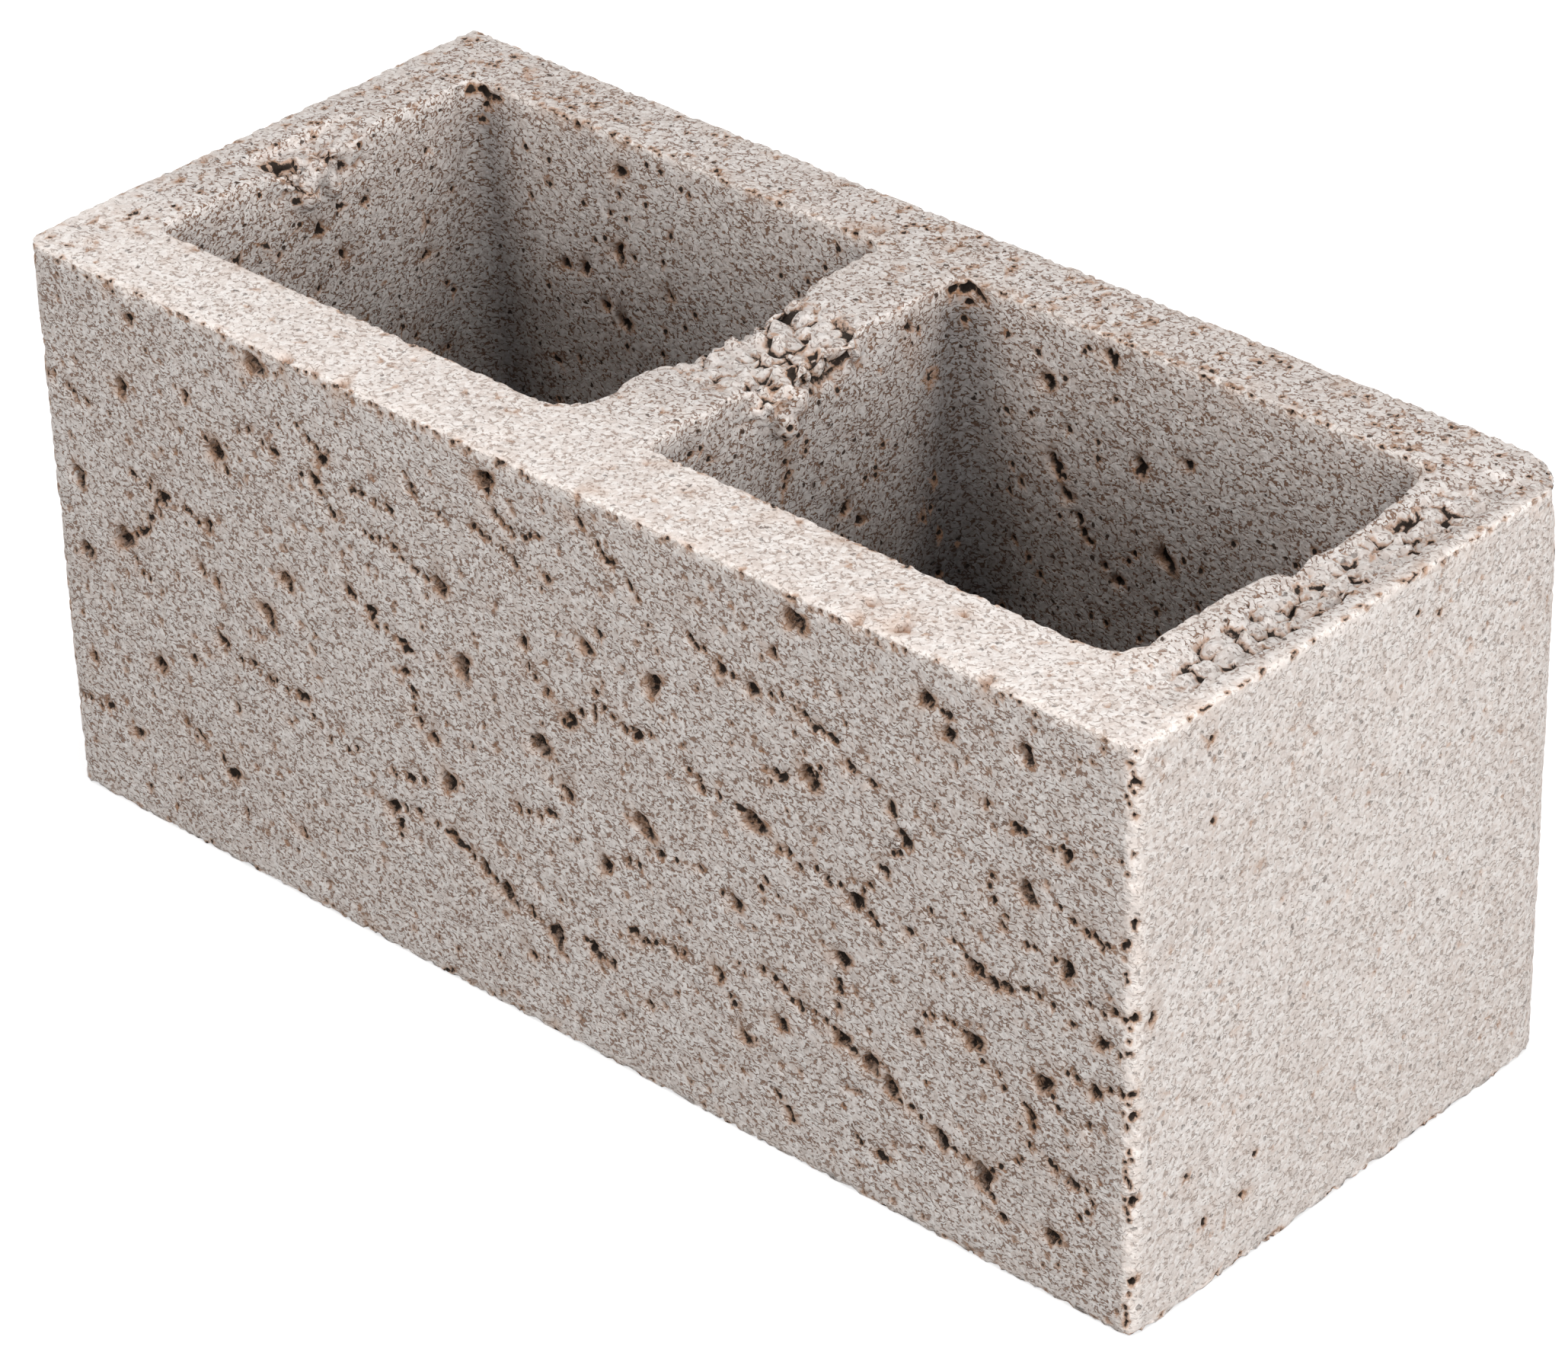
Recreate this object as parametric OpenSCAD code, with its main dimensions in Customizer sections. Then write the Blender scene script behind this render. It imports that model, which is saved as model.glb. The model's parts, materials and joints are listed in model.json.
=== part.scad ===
// Hollow concrete block with two cells, cast in one piece.
// Millimetres. The block stands on z = 0, centred in x and y on its outer box.
// x runs along the length, from the far end to the near end.
// y runs across the width, from the front face to the back face.

/* [Block] */
// Length of the block
block_length = 400; // [300:1:600]
// Width of the block, across both face shells
block_width = 175; // [155:1:300]
// Height of the block
block_height = 175; // [100:1:300]

/* [Walls at the top] */
// Thickness of the front face shell
front_shell = 30; // [18:0.5:45]
// Thickness of the back face shell
back_shell = 24; // [18:0.5:45]
// Thickness of the end web at the far end
far_web = 24; // [18:0.5:45]
// Thickness of the web between the two cells
centre_web = 29; // [18:0.5:45]
// Thickness of the end web at the near end
near_web = 30; // [20:0.5:45]

/* [Cells] */
// How far each cell wall leans in from the top to the bottom
cell_draft = 3; // [0.5:0.5:6]
// Corner radius of a cell at the top
cell_corner_top = 3; // [2:0.5:12]
// Corner radius at the top where the front shell meets the web on the near side of a cell
near_corner_top = 11; // [2:0.5:20]
// Corner radius of a cell at the bottom
cell_corner_bottom = 28; // [3:0.5:32]

/* [Edges] */
// Radius of the upright edge at the far end of the front face
front_far_radius = 8; // [1:0.5:15]
// Radius of the upright edge at the near end of the front face
front_near_radius = 4; // [1:0.5:15]
// Radius of the upright edge at the far end of the back face
back_far_radius = 2; // [1:0.5:15]
// Radius of the worn upright edge at the near end of the back face
back_near_radius = 14; // [1:0.5:15]

/* [Core bar marks] */
// Width of the scoop that the core bar leaves across a web
scoop_width = 46; // [20:1:80]
// Depth of that scoop below the top
scoop_depth = 3; // [1:0.5:6]
// Width of the plain rim left outside the scoop on the far web
far_rim = 12; // [6:0.5:16]
// Width of the lip that stands along the near end
lip_width = 8; // [5:0.5:14]
// Depth of the sunken band behind the lip
band_depth = 3; // [1:0.5:8]
// Length of the sunken band along the near web
band_length = 140; // [60:1:145]

/* [Worn rims and lumps of the webs] */
// How far down a worn rim slopes into its cell
rim_wear_depth = 12; // [4:0.5:20]
// Lumps in each of the two rows behind the lip
lumps_per_row = 13; // [1:1:14]
// Radius of a lump behind the lip
band_lump_radius = 3.8; // [2:0.1:5]

/* [Pits in the faces] */
// Depth of a pit as a share of its width
pit_depth = 0.8; // [0.3:0.05:1.2]
// Width of a pit at its bottom as a share of its width at the face
pit_bottom = 0.3; // [0.1:0.05:0.9]

/* [Hidden] */

// Cuts run this far past the faces that they open
past = 1;
// Sides of a corner circle in a cell
corner_sides = 32;
// Sides of a pit
pit_sides = 7;
// Sides of a lump
lump_sides = 8;
// Seed for the places and sizes of the lumps behind the lip
lump_seed = 7;
// Least distance of a lump's top under the top of the block
lump_clear = 0.4;
// Distance of each row of lumps from the lip, in lump radii
lump_rows = [0.6, 2.4];
// How much the radius of a lump in a row varies
lump_vary = 0.6;
// How far a lump strays from its place in a row, along the length and across the width
lump_stray = [1, 2];

// The larger pits of a long face: along the length from the middle, up from the bottom, and width.
// The places are those on a block of this length and height, and spread with its size.
pit_face = [400, 175];
pits = [
    [-107, 169, 6.5], [-20, 166, 6], [-163, 142, 5], [-125, 136, 6], [-39, 127, 5], [-185, 106, 5.5],
    [-100, 105, 5], [-32, 105, 6.5], [-168, 92, 7], [-109, 91, 5.5], [-4, 92, 6.5], [-185, 82, 5],
    [-40, 65, 6], [-157, 55, 5], [-20, 39, 5], [-1, 33, 6], [89, 167, 6.5], [133, 162, 5],
    [165, 160, 5], [39, 128, 6], [93, 123, 6], [165, 120, 5.5], [73, 101, 6.5], [178, 103, 5],
    [108, 92, 5], [148, 90, 5], [33, 83, 6.5], [103, 72, 5], [19, 64, 5], [147, 67, 5.5],
    [170, 65, 5.5], [102, 47, 5], [112, 44, 6], [119, 40, 5.5], [136, 32, 5], [150, 27, 7],
    [173, 19, 5]
];

cell_length = (block_length - far_web - centre_web - near_web) / 2;
cell_width = block_width - front_shell - back_shell;
cell_mid_y = (front_shell - back_shell) / 2;
far_cell_mid_x = -block_length / 2 + far_web + cell_length / 2;
near_cell_mid_x = block_length / 2 - near_web - cell_length / 2;

far_rim_x = -block_length / 2 + far_web;
centre_far_x = far_rim_x + cell_length;
centre_near_x = centre_far_x + centre_web;
near_rim_x = block_length / 2 - near_web;

// How far each web's rim stands back at the top: y along it, and the distance
far_wear = [[-40, 0], [-30, 0.5], [-14, 1.5], [-9, 0], [9, 0], [14, 2.5], [20, 0.5], [40, 1], [50, 0]];
centre_far_wear = [
    [-55, 0], [-50, 1], [-42, 3], [-36, 0.5], [-28, 0], [-18, 2.5], [-13, 4.5], [-9, 1], [0, 0],
    [6, 3.5], [9, 4.5], [13, 0.5], [22, 0.5], [30, 2.5], [36, 0], [48, 1], [54, 0]
];
centre_near_wear = [[-35, 0], [-18, 1], [-12, 0], [-2, 0], [6, 2], [14, 2.5], [24, 1], [40, 1], [50, 0]];
near_wear = [
    [-20, 0], [-6, 0.5], [-1, 3], [1, 7], [4, 6.5], [10, 4], [20, 5.5], [32, 5], [45, 4], [55, 2], [59, 0]
];

// Lumps that hang on a web at a rim: x from the rim, y, depth of the middle under the top, and radius
far_lumps = [
    [-1, 2, 6.6, 6], [1, -3, 11.5, 5], [0, -9, 5.4, 4.6], [-2, 9, 4.8, 4.3], [0.5, 7, 12.5, 4],
    [-5, -2, 4.2, 3.6], [-4, 14, 4, 3.3]
];
centre_lumps = [
    [1.5, -6, 7.2, 6.6], [-3, 3, 6, 5.4], [1, -14, 8, 5], [2.5, -9, 13.5, 5], [-6, -4, 4.9, 4.4],
    [-9, 5, 4.6, 4], [-4, 13, 5.6, 5], [-9, 14, 4.8, 4.4], [-2, 21, 5.4, 4.6], [-14, 0, 4.4, 4],
    [-17, 9, 4.4, 4], [-13, 18, 4.4, 4], [-6, -13, 4.8, 4.2], [-0.5, -3, 13, 4.4], [-11, -9, 4.4, 4],
    [-25, 1, 4.8, 4.4], [-25.5, -8, 4.8, 4.4], [-25, 16, 5, 4.6], [-21, 9, 4.6, 4.2]
];

// Radius of the bar whose side leaves a scoop of the given width and depth
function bar_radius(width, depth) = (width * width / 4 + depth * depth) / (2 * depth);

// One of the four corner discs that a cell is stretched over
module corner_disc(inset, radius, sx, sy, z)
    translate([sx * (cell_length / 2 - inset - radius), sy * (cell_width / 2 - inset - radius), z])
        cylinder(r = radius, h = past, $fn = corner_sides);

// Tapered core of one cell: widest at the top, with corners that open out downwards
module cell_core() {
    hull()
        for (sx = [-1, 1], sy = [-1, 1]) {
            corner_disc(0, sx > 0 && sy < 0 ? near_corner_top : cell_corner_top, sx, sy, block_height);
            corner_disc(cell_draft, cell_corner_bottom, sx, sy, -past);
        }
}

// What is cut away outside an upright edge to round it
module edge_cut(radius, sx, sy)
    translate([sx * block_length / 2, sy * block_width / 2, -past])
        difference() {
            translate([sx > 0 ? -radius : -past, sy > 0 ? -radius : -past, 0])
                cube([radius + past, radius + past, block_height + 2 * past]);
            translate([-sx * radius, -sy * radius, -past])
                cylinder(r = radius, h = block_height + 4 * past);
        }

// Scoop across a web where the core bar lay, from x_from to x_to
module bar_scoop(x_from, x_to) {
    radius = bar_radius(scoop_width, scoop_depth);
    translate([x_from, cell_mid_y, block_height - scoop_depth + radius])
        rotate([0, 90, 0])
            cylinder(r = radius, h = x_to - x_from);
}

// Sunken band along the near web, deepest behind the lip and level with the top at the cell
module lip_band() {
    lip_x = block_length / 2 - lip_width;
    cell_x = block_length / 2 - near_web - past;
    translate([0, cell_mid_y + band_length / 2, 0])
        rotate([90, 0, 0])
            linear_extrude(band_length)
                polygon([
                    [lip_x, block_height - band_depth],
                    [lip_x, block_height + past],
                    [cell_x, block_height + past],
                    [cell_x, block_height]
                ]);
}

// What is cut away along a worn rim: a wedge that slopes from the top down into the cell
module rim_cut(rim_x, toward, wear) {
    count = len(wear);
    inner_x = rim_x - toward * past;
    low = block_height - rim_wear_depth;
    high = block_height + past;
    wedge = [
        for (place = wear, corner = [0 : 2])
            corner == 0 ? [inner_x, place[0], low] :
            corner == 1 ? [rim_x + toward * (place[1] > 0 ? place[1] : -past / 2), place[0], high] :
            [inner_x, place[0], high]
    ];
    sides = [
        for (i = [0 : count - 2], corner = [0 : 2], half = [0, 1])
            let (next = (corner + 1) % 3)
            half == 0 ? [3 * i + corner, 3 * i + next, 3 * i + 3 + next] :
            [3 * i + corner, 3 * i + 3 + next, 3 * i + 3 + corner]
    ];
    ends = [[2, 1, 0], [3 * count - 3, 3 * count - 2, 3 * count - 1]];
    faces = concat(sides, ends);
    polyhedron(wedge, toward < 0 ? [for (face = faces) [face[2], face[1], face[0]]] : faces);
}

// A lump of concrete whose middle lies under the top
module lump(x, y, under, radius)
    translate([x, y, block_height - under])
        sphere(r = radius, $fn = lump_sides);

// Lumps in two rows behind the lip
module band_lumps() {
    lip_x = block_length / 2 - lip_width;
    start_y = cell_mid_y - band_length / 2;
    step = band_length / (lumps_per_row + 1);
    spread = rands(-1, 1, 6 * lumps_per_row, lump_seed);
    for (row = [0, 1], i = [0 : lumps_per_row - 1]) {
        first = 3 * (row * lumps_per_row + i);
        radius = band_lump_radius + lump_vary * spread[first];
        x = lip_x - lump_rows[row] * band_lump_radius + lump_stray[0] * spread[first + 1];
        y = start_y + step * (i + 1) + lump_stray[1] * spread[first + 2];
        lump(x, y, radius + lump_clear, radius);
    }
}

// All lumps of the three webs
module web_lumps() {
    for (place = far_lumps)
        lump(far_rim_x + place[0], place[1], place[2], place[3]);
    for (place = centre_lumps)
        lump(centre_near_x + place[0], place[1], place[2], place[3]);
    band_lumps();
}

// The larger pits of the front face
module face_pits()
    for (pit = pits)
        translate([
            pit[0] * block_length / pit_face[0],
            -block_width / 2 - past,
            pit[1] * block_height / pit_face[1]
        ])
            rotate([-90, 0, 0])
                cylinder(
                    d1 = pit[2] + past * (1 - pit_bottom) / pit_depth,
                    d2 = pit[2] * pit_bottom,
                    h = pit[2] * pit_depth + past,
                    $fn = pit_sides
                );

// The block as it leaves the mould, with its cells, worn edges and pits
module cast_block()
    difference() {
        translate([-block_length / 2, -block_width / 2, 0])
            cube([block_length, block_width, block_height]);
        for (mid_x = [far_cell_mid_x, near_cell_mid_x])
            translate([mid_x, cell_mid_y, 0])
                cell_core();
        edge_cut(front_far_radius, -1, -1);
        edge_cut(front_near_radius, 1, -1);
        edge_cut(back_far_radius, -1, 1);
        edge_cut(back_near_radius, 1, 1);
        bar_scoop(-block_length / 2 + far_rim, far_cell_mid_x);
        bar_scoop(far_cell_mid_x, near_cell_mid_x);
        lip_band();
        rim_cut(far_rim_x, -1, far_wear);
        rim_cut(centre_far_x, 1, centre_far_wear);
        rim_cut(centre_near_x, -1, centre_near_wear);
        rim_cut(near_rim_x, 1, near_wear);
        for (turn = [0, 180])
            rotate([0, 0, turn])
                face_pits();
    }

// The whole block
module block()
    color("#cfc6c0")
        union() {
            cast_block();
            web_lumps();
        }

block();
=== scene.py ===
import json
import math

import bmesh
import bpy
import numpy as np
from mathutils import Matrix, Vector, kdtree


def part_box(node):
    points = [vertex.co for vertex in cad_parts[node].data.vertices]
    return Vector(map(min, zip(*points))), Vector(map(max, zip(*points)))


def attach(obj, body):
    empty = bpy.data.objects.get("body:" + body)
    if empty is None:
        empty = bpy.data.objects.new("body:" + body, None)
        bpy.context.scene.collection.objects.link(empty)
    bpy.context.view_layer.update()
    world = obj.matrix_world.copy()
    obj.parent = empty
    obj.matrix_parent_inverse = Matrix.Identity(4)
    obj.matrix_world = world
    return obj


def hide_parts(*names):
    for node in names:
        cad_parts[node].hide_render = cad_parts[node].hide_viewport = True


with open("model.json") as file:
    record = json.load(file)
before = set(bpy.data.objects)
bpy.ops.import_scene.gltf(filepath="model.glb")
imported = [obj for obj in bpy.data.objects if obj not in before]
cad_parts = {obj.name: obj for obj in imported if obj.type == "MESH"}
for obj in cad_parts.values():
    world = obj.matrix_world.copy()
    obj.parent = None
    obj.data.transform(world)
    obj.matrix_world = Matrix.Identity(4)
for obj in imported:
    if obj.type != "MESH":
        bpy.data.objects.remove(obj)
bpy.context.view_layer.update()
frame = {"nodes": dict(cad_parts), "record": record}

# Sizes from the frame
MM = 0.001
NODE = frame["nodes"]["block"]
BOX_LOW, BOX_HIGH = (np.array(corner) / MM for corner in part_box("block"))
LENGTH, WIDTH, HEIGHT = BOX_HIGH - BOX_LOW
HALF_LENGTH = LENGTH / 2
HALF_WIDTH = WIDTH / 2

# How finely the surface is worked
SEED = 11
VOXEL = 0.8
TRIANGLES = 190000

# Directions that the faces look in
FRONT = (0, -1, 0)
BACK = (0, 1, 0)
NEAR = (1, 0, 0)
FAR = (-1, 0, 0)
UP = (0, 0, 1)
DOWN = (0, 0, -1)

# The side on which a pit is steepest and towards which the painted shadow in it leans, and a direction aslant
# to every face
STEEP_SIDE = np.array((0.95, 0, -0.3))
ASLANT = (0.36, 0.48, 0.8)

# Outline of a pit: waves around it, and how far each reaches as a share of the radius
PIT_WAVES = ((2, 0.20), (3, 0.16), (5, 0.12))

# How a pit falls away: power of its slope, and what the steep side adds to it
PIT_SLOPE = 2.6
STEEPER = 1.6

# Reach of a pit, of the painted shadow in it and of its stain, in radii, and how far the painted shadow leans
PIT_REACH = 1.6
SHADOW_REACH = 1.4
STAIN_REACH = 1.9
SHADOW_LEAN = 0.3

# Least radius of the painted shadow in a pit
LEAST_SHADOW = 1.0

# Depth of a pit as a share of its width: on a long face, in a chain, in a cell, strewn, and elsewhere
FACE_DEEP = 0.85
CHAIN_DEEP = 0.9
WALL_DEEP = 0.8
STREWN_DEEP = 0.75
EDGE_DEEP = 0.7

# How far under the top the walls of a cell are measured, past the worn rims
UNDER_RIM = 8

# Distances under this one count as none
TINY = 0.01

rng = np.random.default_rng(SEED)


# Places where the solid is met, found on the frame

def strike(origin, direction):
    """Place and direction of the CAD face met from origin along direction, in millimetres."""
    hit, place, normal, _ = NODE.ray_cast(Vector(origin) * MM, Vector(direction))
    if not hit:
        return None
    return np.array(place) / MM, np.array(normal)


def cell_edges(opening):
    """Walls of a cell just under the rim: its lowest x, highest x, lowest y and highest y."""
    corners = np.array(opening["box_m"]) / MM
    middle = corners.mean(axis=0)
    middle[2] = HEIGHT - UNDER_RIM
    sides = (FAR, NEAR, FRONT, BACK)
    places = [strike(middle, side)[0] for side in sides]
    return places[0][0], places[1][0], places[2][1], places[3][1]


FAR_CELL, NEAR_CELL = (cell_edges(opening) for opening in frame["record"]["physics"]["openings"])
CELLS = (FAR_CELL, NEAR_CELL)
CELL_MID_Y = (FAR_CELL[2] + FAR_CELL[3]) / 2
FAR_RIM_X = FAR_CELL[0]
CENTRE_FAR_X = FAR_CELL[1]
CENTRE_NEAR_X = NEAR_CELL[0]
NEAR_RIM_X = NEAR_CELL[1]


def corner_gap(sx, sy):
    """Distance from an upright edge of the box to the rounded edge of the solid there."""
    corner = np.array((sx * HALF_LENGTH, sy * HALF_WIDTH, HEIGHT / 2))
    inward = np.array((-sx, -sy, 0)) / math.sqrt(2)
    return math.dist(strike(corner, inward)[0], corner)


CORNER_GAPS = np.array([[corner_gap(sx, sy) for sy in (-1, 1)] for sx in (-1, 1)])

# Cell corners and lean, as in the solid
CORNER_TOP = 3
NEAR_CORNER_TOP = 11
CORNER_BOTTOM = 28
CELL_LEAN = 3

# Pits on the front face: x along it, z up it, and their width
FRONT_PITS = (
    (-107, 169, 6.5), (-157, 165, 4), (-20, 166, 6), (-136, 149, 3.5), (-163, 142, 5), (-125, 136, 6),
    (-82, 149, 4.5), (-86, 142, 4), (-39, 127, 5), (-8, 122, 4), (-185, 106, 5.5), (-150, 112, 4.5),
    (-131, 110, 4), (-100, 105, 5), (-75, 112, 3.5), (-66, 108, 4), (-54, 103, 3.5), (-32, 105, 6.5),
    (-168, 92, 7), (-109, 91, 5.5), (-4, 92, 6.5), (-185, 82, 5), (-129, 74, 4), (-45, 77, 4),
    (-96, 69, 3.5), (-40, 65, 6), (-55, 60, 3), (-157, 55, 5), (-125, 54, 3), (-64, 47, 4.5),
    (-39, 48, 4.5), (-28, 43, 4.5), (-20, 39, 5), (-1, 33, 6), (-186, 46, 3), (-170, 27, 4),
    (-129, 30, 4.5), (-101, 23, 3), (-125, 19, 2.5), (-11, 22, 3), (-142, 63, 3), (-156, 100, 2.5),
    (-129, 93, 3), (-135, 95, 3), (89, 167, 6.5), (133, 162, 5), (140, 155, 4.5), (165, 160, 5),
    (82, 155, 3.5), (15, 167, 3), (2, 145, 3), (15, 130, 4.5), (20, 136, 3), (39, 128, 6),
    (53, 148, 3), (63, 143, 3.5), (74, 141, 4.5), (101, 138, 2.5), (162, 137, 3.5), (178, 136, 4),
    (93, 123, 6), (82, 119, 4), (121, 126, 3.5), (126, 118, 4), (165, 120, 5.5), (33, 110, 3.5),
    (8, 105, 4.5), (73, 101, 6.5), (55, 104, 3), (178, 103, 5), (189, 115, 2.5), (108, 92, 5),
    (148, 90, 5), (154, 88, 4), (126, 91, 3), (189, 86, 4), (33, 83, 6.5), (6, 81, 4), (39, 76, 3),
    (66, 73, 4.5), (103, 72, 5), (19, 64, 5), (147, 67, 5.5), (170, 65, 5.5), (187, 70, 4), (59, 48, 4),
    (33, 46, 3), (102, 47, 5), (112, 44, 6), (119, 40, 5.5), (81, 42, 4.5), (68, 32, 4), (13, 35, 4.5),
    (20, 33, 2.5), (136, 32, 5), (150, 27, 7), (173, 19, 5), (84, 14, 3), (157, 17, 3), (115, 16, 2.5),
    (33, 26, 3), (128, 61, 3), (166, 54, 4), (77, 85, 2.5), (88, 51, 3), (75, 56, 2.5),
)

# Pits of this width or more are in the solid too
LARGE_PIT = 5

# Chains of small pits on the front face, as x and z along each chain
FRONT_CHAINS = (
    ((-144, 137), (-132, 138), (-125, 136), (-121, 130), (-115, 125)),
    ((-112, 148), (-100, 144), (-91, 142), (-86, 142), (-80, 135), (-77, 133)),
    ((-91, 157), (-85, 153), (-82, 150)),
    ((-72, 145), (-59, 143), (-56, 144)),
    ((-69, 132), (-59, 132), (-51, 130), (-40, 127)),
    ((-164, 116), (-157, 115), (-150, 112), (-138, 112), (-131, 110)),
    ((-150, 112), (-154, 105), (-156, 100), (-162, 96), (-166, 93)),
    ((-166, 89), (-161, 84), (-157, 83)),
    ((-78, 111), (-69, 110), (-64, 105), (-53, 103), (-55, 98), (-51, 89), (-52, 82), (-45, 77)),
    ((-131, 75), (-120, 71), (-112, 70), (-100, 68), (-95, 69)),
    ((-94, 66), (-88, 60), (-80, 58), (-75, 63)),
    ((-62, 60), (-55, 60), (-50, 62)),
    ((-64, 47), (-59, 50), (-51, 50), (-39, 48), (-32, 45), (-20, 39), (-10, 36), (-1, 33)),
    ((-62, 47), (-61, 39), (-57, 36)),
    ((-194, 31), (-186, 31), (-181, 32), (-179, 30)),
    ((-148, 41), (-142, 38), (-133, 33), (-130, 30)),
    ((-23, 70), (-11, 68), (-3, 71), (0, 72)),
    ((-50, 157), (-46, 152), (-40, 151)),
    ((-26, 151), (-20, 149), (-13, 148), (-5, 145)),
    ((-19, 162), (-14, 156), (-8, 155), (0, 156)),
    ((-8, 122), (-7, 115), (-1, 111), (0, 106)),
    ((-196, 136), (-184, 133), (-176, 132)),
    ((15, 167), (22, 162), (26, 159), (33, 155), (36, 152)),
    ((53, 148), (63, 143), (74, 141), (88, 142), (94, 140), (101, 138), (108, 132), (118, 129), (121, 126)),
    ((121, 126), (126, 118), (121, 111), (118, 105), (113, 98), (108, 92)),
    ((100, 127), (93, 123), (82, 119), (77, 114)),
    ((15, 122), (19, 115), (14, 109), (8, 105), (4, 100)),
    ((19, 115), (26, 111), (33, 110), (39, 115), (44, 121)),
    ((51, 108), (55, 104), (65, 104), (73, 101)),
    ((73, 101), (81, 97), (86, 95), (98, 95), (106, 94), (115, 88), (122, 87)),
    ((151, 139), (162, 137), (170, 138), (178, 136)),
    ((175, 120), (189, 115), (199, 117)),
    ((152, 122), (156, 110), (158, 106)),
    ((164, 105), (172, 104), (178, 103), (184, 96), (199, 97)),
    ((133, 100), (143, 95), (148, 90), (154, 88), (160, 89), (165, 92), (174, 91), (180, 88), (199, 85)),
    (
        (131, 68), (136, 70), (147, 67), (153, 61), (160, 57),
        (167, 54), (166, 45), (174, 42), (187, 37), (183, 28),
    ),
    ((170, 65), (177, 58), (186, 60)),
    (
        (75, 56), (88, 51), (99, 50), (102, 47), (112, 44),
        (119, 40), (125, 38), (136, 32), (144, 30), (150, 27),
    ),
    ((150, 27), (160, 35), (165, 41)),
    ((150, 26), (157, 17)),
    ((103, 72), (102, 63), (100, 53)),
    ((59, 48), (66, 39), (68, 32)),
    ((25, 49), (33, 46), (42, 48), (50, 49)),
    ((9, 37), (13, 35), (22, 33)),
    ((77, 21), (84, 14)),
    ((106, 20), (115, 16), (118, 15)),
    ((19, 64), (26, 68), (32, 71)),
    ((33, 83), (39, 76), (48, 77)),
    ((53, 79), (60, 76), (66, 73), (74, 81), (77, 85)),
    ((177, 73), (187, 70), (195, 75), (200, 74)),
    ((133, 162), (141, 160), (140, 155)),
)

# Small pits on the near end face: y across it, z up it, and their width
END_PITS = (
    (-59, 165, 2), (-58, 141, 2), (-80, 95, 3), (-59, 21, 2.5), (-44, 21, 2.5), (-66, 39, 2), (-39, 31, 2),
    (30, 159, 2), (21, 163, 1.8), (80, 154, 2.4),
)

# Notches down the upright edge between the front face and the near end: z and width
EDGE_NOTCHES = ((165, 2.6), (125, 2.2), (97, 2.8), (68, 2.4), (42, 3), (17, 2.6))

# Pits in the top: x, y and width
TOP_PITS = (
    (-24, 69, 3), (155, 69, 3), (35, -68, 2), (128, -67, 2.5), (107, -78, 3), (121, -81, 5),
    (-94, -86, 3.5), (-83, -86, 3), (-73, -86, 4), (110, -86, 4), (152, -86, 4), (-197, -22, 3),
)
# How dark the painted shadow in the pits of the top is
TOP_SHADOW = 0.5

# Pits on the back wall of each cell: x, z and width
BACK_WALL_PITS = (
    (-118, 164, 4.5), (-141, 127, 4), (-119, 138, 5), (-133, 128, 4), (-99, 131, 3), (-118, 116, 5),
    (-125, 119, 3.5), (64, 169, 4.5), (42, 154, 5), (45, 130, 5), (75, 140, 5), (91, 146, 3.5),
    (84, 115, 6),
)

# Pits on the wall of a cell that looks towards the near end: cell, y, z and width
FAR_WALL_PITS = (
    (0, 1, 151, 4), (0, 9, 140, 3), (0, 41, 127, 3), (0, 19, 153, 3), (1, 16, 124, 4), (1, 21, 118, 3.5),
    (1, 43, 168, 3.5),
)

# Pits in the far back corner of each cell: distance aside, depth under the top and width
CORNER_PITS = ((0, 3, 4), (2.5, 4, 2.6), (-2.5, 3, 3), (0.5, 7, 2.4), (-0.5, 12, 2))
CORNER_INSET = 0.8

# Gaps between the lumps on the webs: x, y, width and depth
GAPS = (
    (CENTRE_NEAR_X - 0.5, 8, 5, 9), (CENTRE_NEAR_X + 0.5, 16, 4, 8), (CENTRE_NEAR_X - 6.5, 9, 3.4, 4),
    (CENTRE_NEAR_X - 5, -0.5, 3, 4), (CENTRE_NEAR_X - 10, 0, 2.6, 3.5), (CENTRE_NEAR_X - 12, 10, 2.6, 3.5),
    (CENTRE_NEAR_X + 0.5, 25, 3, 5), (CENTRE_NEAR_X - 3, -10, 3, 5), (FAR_RIM_X - 11, -7, 6, 5),
    (FAR_RIM_X - 12, -11, 3, 3), (FAR_RIM_X - 5, -6, 3, 4), (FAR_RIM_X - 4, 6, 3, 4),
    (FAR_RIM_X + 1, -5, 3, 7), (HALF_LENGTH - 9, 2, 3.4, 4), (HALF_LENGTH - 9.5, -9, 3, 3.5),
    (HALF_LENGTH - 9.5, 17, 3, 3.5), (HALF_LENGTH - 9, -30, 3, 3), (HALF_LENGTH - 9.5, 38, 3.2, 3.5),
    (HALF_LENGTH - 9.5, 55, 2.6, 3),
)

# Pits of a chain: distance apart, lag as a share of that, how far they stray, and the share left out
CHAIN_GAP = 3.8
CHAIN_LAG = 0.8
CHAIN_STRAY = 0.7
CHAIN_SKIPS = 0.15
CHAIN_WIDTHS = (1.6, 3.1)
CHAIN_STAIN = 0.9

# The fine crack along a chain: its reach, and how faint it may be
CRACK_REACH = 0.9
CRACK_FAINT = 0.3

# Chains of pits in the near cell: x and z on the back wall, y and z on the wall of the centre web
BACK_WALL_CHAIN = ((45, 130), (49, 123), (54, 115), (60, 108), (68, 101))
BACK_WALL_GAP = 3.2
BACK_WALL_WIDTHS = (2, 3.6)
WEB_WALL_CHAIN = ((-6, 166), (-6, 150), (-7, 138))
WEB_WALL_GAP = 3
WEB_WALL_WIDTHS = (1.4, 2.4)

# Strewn pits keep this far from the edges of a face and from the corners of a cell
FACE_MARGIN = 4
CELL_MARGIN = 10
STREWN_STAIN = 0.5

# Notches along the edges: their widths, how far they stray, how stained they are, and how dark the painted
# shadow in them is
NOTCH_WIDTHS = (0.9, 2.2)
NOTCH_STRAY = 0.8
NOTCH_STAIN = 0.8
NOTCH_SHADOW = 0.72
# Notches are aimed at from this far outside an edge
NOTCH_OUTSIDE = 4
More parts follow.
